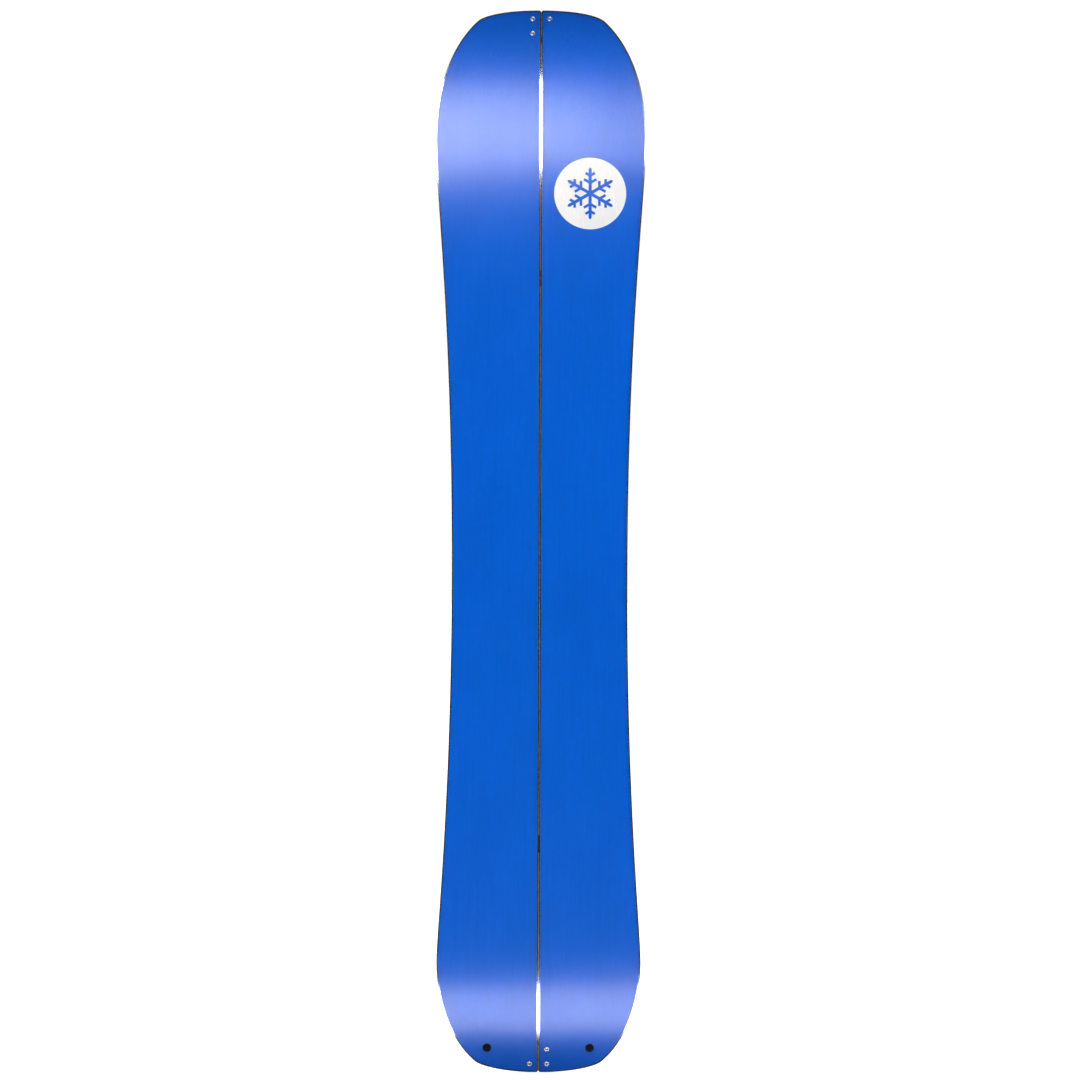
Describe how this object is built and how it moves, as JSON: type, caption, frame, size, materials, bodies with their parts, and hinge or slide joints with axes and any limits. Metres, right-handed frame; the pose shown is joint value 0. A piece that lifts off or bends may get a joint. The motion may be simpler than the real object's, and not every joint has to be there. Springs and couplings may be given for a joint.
{
  "type": "splitboard",
  "caption": "Two-piece touring snowboard that parts along a steel-edged centre seam, with tip clips, alignment hooks, binding rails and a blue base.",
  "frame": {"origin": "on the floor line below the tail end, under the middle of the bounding box", "axes": "+Z from tail to nose along the board, X across the board with +X to the half that carries the round inlay, -Y the way the running base faces and +Y the way the topsheet faces"},
  "size_m": [0.3082, 0.0694, 1.5558],
  "materials": {
    "base_sheet": "semi-gloss sintered polyethylene with fine lengthwise grinding marks",
    "base_inlay": "semi-gloss off-white polyethylene",
    "steel_edge": "ground and polished",
    "glass_laminate": "translucent glass-fibre laminate",
    "wood_core": "vertically laminated strips",
    "sidewall": "fine-sanded",
    "tip_spacer": "matte",
    "topsheet": "satin",
    "insert_rail": "dark anodised",
    "threaded_insert": "turned stainless steel",
    "hook": "stamped stainless steel",
    "screw": "bright stainless steel",
    "clip_lever": "black coated steel",
    "skin_socket": "moulded black nylon"
  },
  "bodies": {
    "right_half": {"base_inlay": "base_inlay", "nose_catch_t_nut": "threaded_insert", "nose_clip_catch_post": "screw", "right_base_sheet": "base_sheet", "right_front_hook": "hook", "right_front_hook_screw_1": "screw", "right_front_hook_screw_2": "screw", "right_front_insert_rail": "insert_rail", "right_heel_insert_strip": "threaded_insert", "right_inner_edge": "steel_edge", "right_inner_sidewall": "sidewall", "right_lower_laminate": "glass_laminate", "right_nose_spacer": "tip_spacer", "right_outer_edge": "steel_edge", "right_outer_sidewall": "sidewall", "right_rear_hook": "hook", "right_rear_hook_screw_1": "screw", "right_rear_hook_screw_2": "screw", "right_rear_insert_rail": "insert_rail", "right_skin_socket": "skin_socket", "right_tail_spacer": "tip_spacer", "right_topsheet": "topsheet", "right_touring_insert_strip": "threaded_insert", "right_upper_laminate": "glass_laminate", "right_wood_core": "wood_core", "tail_clip_pivot_bolt": "screw", "tail_clip_stop_stud": "screw", "tail_pivot_t_nut": "threaded_insert", "tail_stop_t_nut": "threaded_insert"},
    "left_half": {"left_base_sheet": "base_sheet", "left_front_hook": "hook", "left_front_hook_screw_1": "screw", "left_front_hook_screw_2": "screw", "left_front_insert_rail": "insert_rail", "left_heel_insert_strip": "threaded_insert", "left_inner_edge": "steel_edge", "left_inner_sidewall": "sidewall", "left_lower_laminate": "glass_laminate", "left_nose_spacer": "tip_spacer", "left_outer_edge": "steel_edge", "left_outer_sidewall": "sidewall", "left_rear_hook": "hook", "left_rear_hook_screw_1": "screw", "left_rear_hook_screw_2": "screw", "left_rear_insert_rail": "insert_rail", "left_skin_socket": "skin_socket", "left_tail_spacer": "tip_spacer", "left_topsheet": "topsheet", "left_touring_insert_strip": "threaded_insert", "left_upper_laminate": "glass_laminate", "left_wood_core": "wood_core", "nose_pivot_t_nut": "threaded_insert", "nose_stop_t_nut": "threaded_insert", "nose_clip_pivot_bolt": "screw", "nose_clip_stop_stud": "screw", "tail_catch_t_nut": "threaded_insert", "tail_clip_catch_post": "screw"},
    "nose_clip": {"nose_clip_lever": "clip_lever"},
    "tail_clip": {"tail_clip_lever": "clip_lever"}
  },
  "joints": [
    {"name": "halves_split", "type": "slide", "parent": "right_half", "child": "left_half", "axis": [-1, 0, 0], "range_m": [0, 0.12]},
    {"name": "nose_clip_turn", "type": "hinge", "parent": "left_half", "child": "nose_clip", "pos_m": [-0.0125, 0.02167, 1.54338], "axis": [0, -0.9495, 0.3137], "range_deg": [0, 70]},
    {"name": "tail_clip_turn", "type": "hinge", "parent": "right_half", "child": "tail_clip", "pos_m": [0.0125, -0.0113, 0.01238], "axis": [0, -0.9547, -0.2975], "range_deg": [0, 70]}
  ]
}
